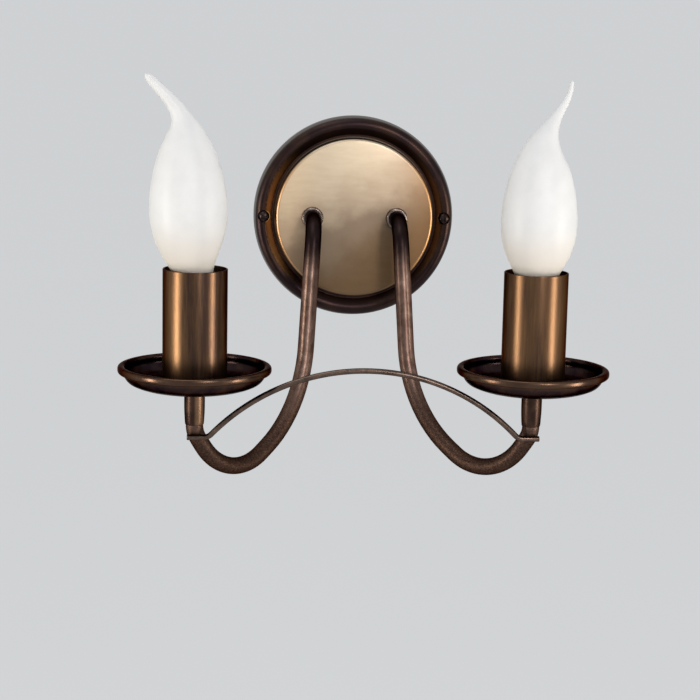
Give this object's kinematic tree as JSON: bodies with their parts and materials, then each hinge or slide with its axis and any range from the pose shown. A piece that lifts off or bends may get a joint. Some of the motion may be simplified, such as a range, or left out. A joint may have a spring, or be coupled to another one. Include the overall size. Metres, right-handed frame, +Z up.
{
  "type": "wall sconce",
  "caption": "Candle-style wall light: round backplate, swept tube arms with drip pans, metal sleeves and bent-tip bulbs, tied by a thin arched rod.",
  "frame": {"origin": "centre of the backplate, on the wall plane", "axes": "+Z up, +X to the right of someone who faces the wall, +Y into the wall; the sconce stands out towards -Y"},
  "size_m": [0.2258, 0.1378, 0.1878],
  "materials": {
    "backplate_bronze": "antique bronze, brushed disc and darker rim",
    "screw_bronze": "bronze-plated",
    "collar_bronze": "antique bronze, turned",
    "arm_bronze": "antique bronze, mottled",
    "ferrule_bronze": "antique bronze, polished",
    "pan_bronze": "antique bronze, polished",
    "sleeve_bronze": "antique bronze, polished",
    "rod_bronze": "antique bronze, round bar",
    "steel": "zinc-plated",
    "block_moulding": "moulded",
    "holder_moulding": "moulded, heat-proof",
    "terminal_brass": "bright",
    "lead_insulation": "flexible insulation",
    "earth_insulation": "flexible insulation",
    "frosted_glass": "frosted inside",
    "stem_glass": "clear",
    "cap_metal": "bright",
    "cap_insulator": "black glassy insulator"
  },
  "bodies": {
    "sconce": {"wall_bracket": "steel", "canopy": "backplate_bronze", "canopy_screws": "screw_bronze", "terminal_block": "block_moulding", "terminal_inserts": "terminal_brass", "terminal_screw": "steel", "earth_screw": "steel", "earth_lead": "earth_insulation", "arm_collars": "collar_bronze", "arm_washers": "steel", "arm_nuts": "steel", "tie_rod": "rod_bronze", "pan_nuts": "steel", "left_arm": "arm_bronze", "left_lead": "lead_insulation", "left_ferrule": "ferrule_bronze", "left_pan": "pan_bronze", "left_holder_strap": "steel", "left_lampholder": "holder_moulding", "left_thread_shell": "terminal_brass", "left_centre_contact": "terminal_brass", "left_sleeve": "sleeve_bronze", "right_arm": "arm_bronze", "right_lead": "lead_insulation", "right_ferrule": "ferrule_bronze", "right_pan": "pan_bronze", "right_holder_strap": "steel", "right_lampholder": "holder_moulding", "right_thread_shell": "terminal_brass", "right_centre_contact": "terminal_brass", "right_sleeve": "sleeve_bronze"},
    "left_bulb_lift": {"left_bulb_insulator": "cap_insulator", "left_bulb_contact": "cap_metal"},
    "left_bulb": {"left_bulb_glass": "frosted_glass", "left_bulb_stem": "stem_glass", "left_bulb_cap": "cap_metal"},
    "right_bulb_lift": {"right_bulb_insulator": "cap_insulator", "right_bulb_contact": "cap_metal"},
    "right_bulb": {"right_bulb_glass": "frosted_glass", "right_bulb_stem": "stem_glass", "right_bulb_cap": "cap_metal"}
  },
  "joints": [
    {"name": "left_bulb_rise", "type": "slide", "parent": "sconce", "child": "left_bulb_lift", "axis": [0, 0, 1], "range_m": [0, 0.0071]},
    {"name": "left_bulb_turn", "type": "hinge", "parent": "left_bulb_lift", "child": "left_bulb", "pos_m": [-0.0778, -0.1027, 0], "axis": [0, 0, 1], "range_deg": [0, 900]},
    {"name": "right_bulb_rise", "type": "slide", "parent": "sconce", "child": "right_bulb_lift", "axis": [0, 0, 1], "range_m": [0, 0.0071]},
    {"name": "right_bulb_turn", "type": "hinge", "parent": "right_bulb_lift", "child": "right_bulb", "pos_m": [0.0778, -0.1027, 0], "axis": [0, 0, 1], "range_deg": [0, 900]}
  ],
  "couplings": [
    {"joint": "left_bulb_rise", "follows": "left_bulb_turn", "m_per_rad": 0.00044882},
    {"joint": "right_bulb_rise", "follows": "right_bulb_turn", "m_per_rad": 0.00044882}
  ]
}
